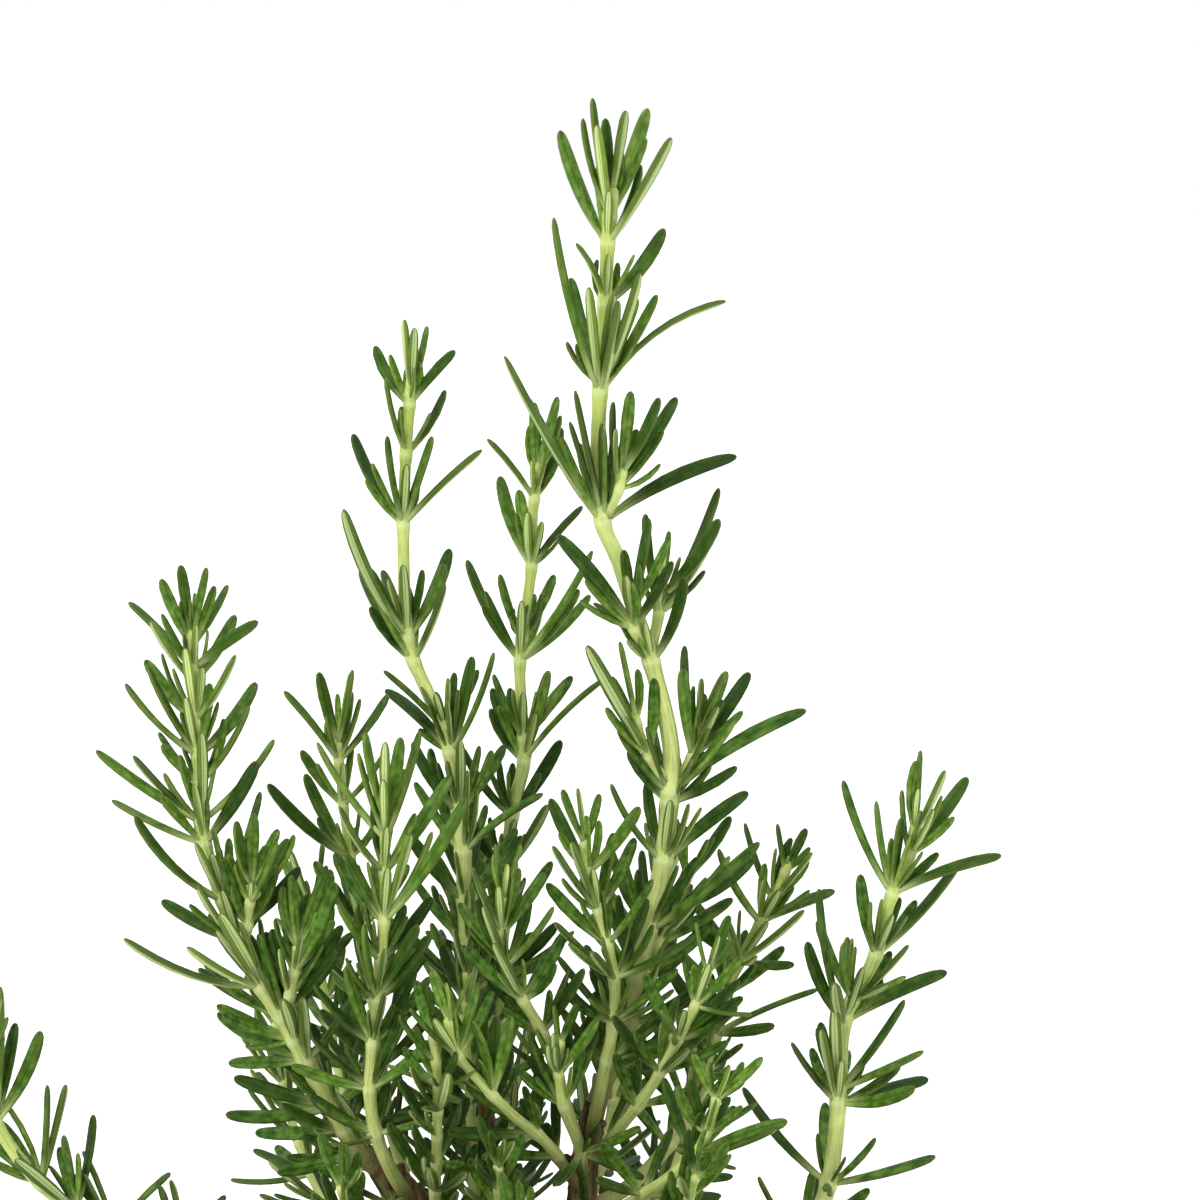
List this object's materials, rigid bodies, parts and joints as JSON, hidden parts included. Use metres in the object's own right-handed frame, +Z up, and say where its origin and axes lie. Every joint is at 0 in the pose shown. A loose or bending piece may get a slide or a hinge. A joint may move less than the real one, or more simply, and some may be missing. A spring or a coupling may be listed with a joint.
{
  "type": "potted rosemary plant",
  "caption": "Rosemary plant with upright and spreading leafy shoots on woody stems, standing in soil in a plain round clay pot.",
  "frame": {"origin": "middle of the pot's flat base, on the surface that it stands on", "axes": "+Z up through the pot and the plant, +X to the right and +Y away as the plant is seen from its front"},
  "size_m": [0.1956, 0.143, 0.3456],
  "materials": {
    "terracotta": "matt",
    "soil": "matt",
    "bark": "matt",
    "foliage": "satin"
  },
  "bodies": {
    "root": {"pot": "terracotta", "soil": "soil", "wood_left": "bark", "wood_centre": "bark", "wood_right": "bark", "shoot_leader": "foliage", "shoot_left_of_leader": "foliage", "shoot_behind_leader": "foliage", "shoot_far_left": "foliage", "shoot_small_left": "foliage", "shoot_mid_left": "foliage", "shoot_mid_right": "foliage", "shoot_far_right": "foliage", "shoot_low_left": "foliage", "shoot_crossing_left": "foliage", "shoot_reaching_left": "foliage", "shoot_front_tuft": "foliage", "shoot_front_of_leader": "foliage", "shoot_low_right": "foliage", "shoot_reaching_right": "foliage", "shoot_front_left": "foliage", "shoot_centre_front": "foliage", "shoot_centre_low": "foliage", "shoot_front_low_right": "foliage", "shoot_front_low_left": "foliage", "shoot_front_low": "foliage", "shoot_back_left": "foliage", "shoot_back_centre": "foliage", "shoot_back_right": "foliage", "shoot_back_low_left": "foliage", "shoot_back_low": "foliage", "shoot_back_low_right": "foliage"}
  },
  "joints": []
}
